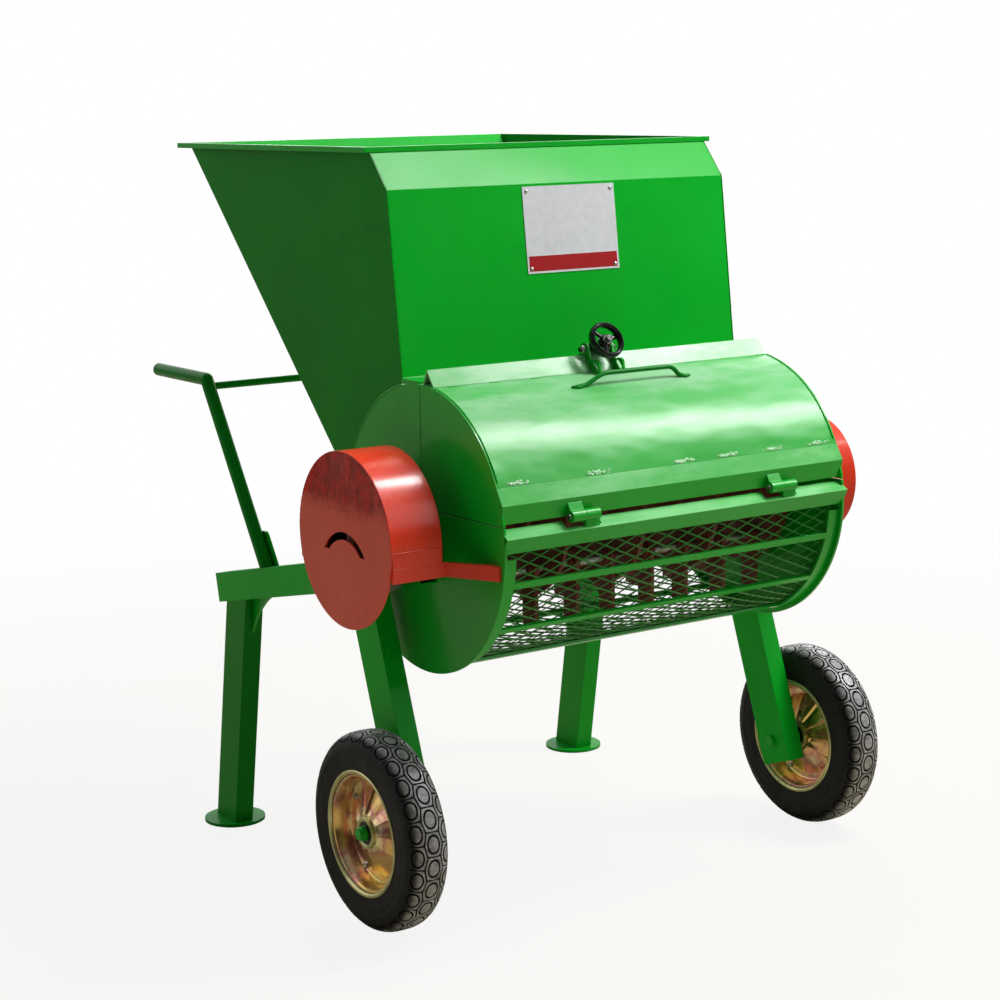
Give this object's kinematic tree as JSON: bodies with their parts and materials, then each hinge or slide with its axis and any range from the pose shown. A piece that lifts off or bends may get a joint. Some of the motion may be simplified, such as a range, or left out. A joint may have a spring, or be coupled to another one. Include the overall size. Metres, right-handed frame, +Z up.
{
  "type": "fodder chopper",
  "caption": "Wheeled fodder chopper with a sloping open hopper, hinged drum cover, swinging-hammer rotor over a round screen, belt guards and push handles.",
  "frame": {"origin": "on the floor, under the middle of the machine's bounding box", "axes": "+X along the drum shaft to the machine's right-hand side as seen from the front wheels, -Y to the front where the cover opens, +Z up"},
  "size_m": [1.122, 1.2415, 1.401],
  "materials": {
    "green_paint": "gloss green enamel on welded steel",
    "red_paint": "gloss red enamel, brushed by hand inside",
    "primer_red": "matt red-brown primer on steel",
    "cast_green": "painted cast iron",
    "cast_grey": "machined cast iron",
    "steel": "bright turned steel",
    "dark_steel": "dark forged steel",
    "zinc": "zinc plated",
    "yellow_zinc": "yellow passivated zinc",
    "black_plastic": "gloss black moulded plastic",
    "tyre": "black rubber"
  },
  "bodies": {
    "frame": {"side_rails": "green_paint", "front_legs": "green_paint", "rear_legs": "green_paint", "foot_plates": "green_paint", "leg_gussets": "green_paint", "rear_cross_beam": "green_paint", "drum_brackets": "green_paint", "axles": "green_paint", "axle_nuts": "green_paint", "push_handles": "green_paint", "handle_crossbar": "green_paint", "handle_ears": "green_paint", "end_plates": "green_paint", "fixed_hinge_angle": "green_paint", "rear_skin": "green_paint", "screen_panels": "green_paint", "screen_hoops": "green_paint", "screen_bars": "green_paint", "hopper_sill": "green_paint", "hopper_sides": "green_paint", "hopper_front_sheet": "green_paint", "hopper_back_sheet": "green_paint", "hopper_rim": "green_paint", "hinge_fixed_knuckles": "green_paint", "hinge_pins": "steel", "clamp_nut": "green_paint", "bearing_housings": "cast_green", "bearing_inserts": "steel", "bearing_bolts": "zinc", "left_guard": "red_paint", "right_guard": "red_paint", "guard_brackets": "red_paint"},
    "cover": {"cover_skin": "green_paint", "cover_ends": "green_paint", "cover_ridge_angle": "green_paint", "cover_hinge_angle": "green_paint", "cover_handle": "green_paint", "hinge_moving_knuckles": "green_paint", "clamp_lugs": "green_paint", "clamp_block": "dark_steel", "clamp_stud_nuts": "zinc"},
    "clamp_washer": {"clamp_washer": "zinc"},
    "clamp_wheel": {"handwheel": "black_plastic", "clamp_screw": "steel"},
    "rotor": {"rotor_shaft": "primer_red", "rotor_discs": "primer_red", "hammer_pins": "steel", "pulleys": "cast_grey"},
    "left_wheel": {"left_tyre": "tyre", "left_rim": "yellow_zinc", "left_wheel_hub": "yellow_zinc", "left_rim_bolts": "zinc"},
    "right_wheel": {"right_tyre": "tyre", "right_rim": "yellow_zinc", "right_wheel_hub": "yellow_zinc", "right_rim_bolts": "zinc"},
    "hammers_1": {"hammer_row_1": "primer_red"},
    "hammers_2": {"hammer_row_2": "primer_red"},
    "hammers_3": {"hammer_row_3": "primer_red"},
    "hammers_4": {"hammer_row_4": "primer_red"}
  },
  "joints": [
    {"name": "cover_hinge", "type": "hinge", "parent": "frame", "child": "cover", "pos_m": [0, -0.61025, 0.765], "axis": [1, 0, 0], "range_deg": [0, 140]},
    {"name": "clamp_slide", "type": "slide", "parent": "cover", "child": "clamp_washer", "axis": [0, -0.866, 0.5], "range_m": [-0.012, 0]},
    {"name": "handwheel_turn", "type": "hinge", "parent": "clamp_washer", "child": "clamp_wheel", "pos_m": [-0.007, -0.37979, 1.0315], "axis": [0, -0.866, 0.5], "range_deg": [-2162, 2]},
    {"name": "rotor_spin", "type": "hinge", "parent": "frame", "child": "rotor", "pos_m": [0, -0.34425, 0.719], "axis": [1, 0, 0], "continuous": true},
    {"name": "left_wheel_spin", "type": "hinge", "parent": "frame", "child": "left_wheel", "pos_m": [-0.515, -0.37225, 0.184], "axis": [1, 0, 0], "continuous": true},
    {"name": "right_wheel_spin", "type": "hinge", "parent": "frame", "child": "right_wheel", "pos_m": [0.515, -0.37225, 0.184], "axis": [1, 0, 0], "continuous": true},
    {"name": "hammers_1_swing", "type": "hinge", "parent": "rotor", "child": "hammers_1", "pos_m": [0, -0.26081, 0.80244], "axis": [1, 0, 0], "range_deg": [-15, 285]},
    {"name": "hammers_2_swing", "type": "hinge", "parent": "rotor", "child": "hammers_2", "pos_m": [0, -0.42769, 0.80244], "axis": [1, 0, 0], "range_deg": [-285, 15]},
    {"name": "hammers_3_swing", "type": "hinge", "parent": "rotor", "child": "hammers_3", "pos_m": [0, -0.42769, 0.63556], "axis": [1, 0, 0], "range_deg": [-195, 105]},
    {"name": "hammers_4_swing", "type": "hinge", "parent": "rotor", "child": "hammers_4", "pos_m": [0, -0.26081, 0.63556], "axis": [1, 0, 0], "range_deg": [-105, 195]}
  ],
  "couplings": [
    {"joint": "handwheel_turn", "follows": "clamp_slide", "rad_per_m": 3141.6}
  ]
}
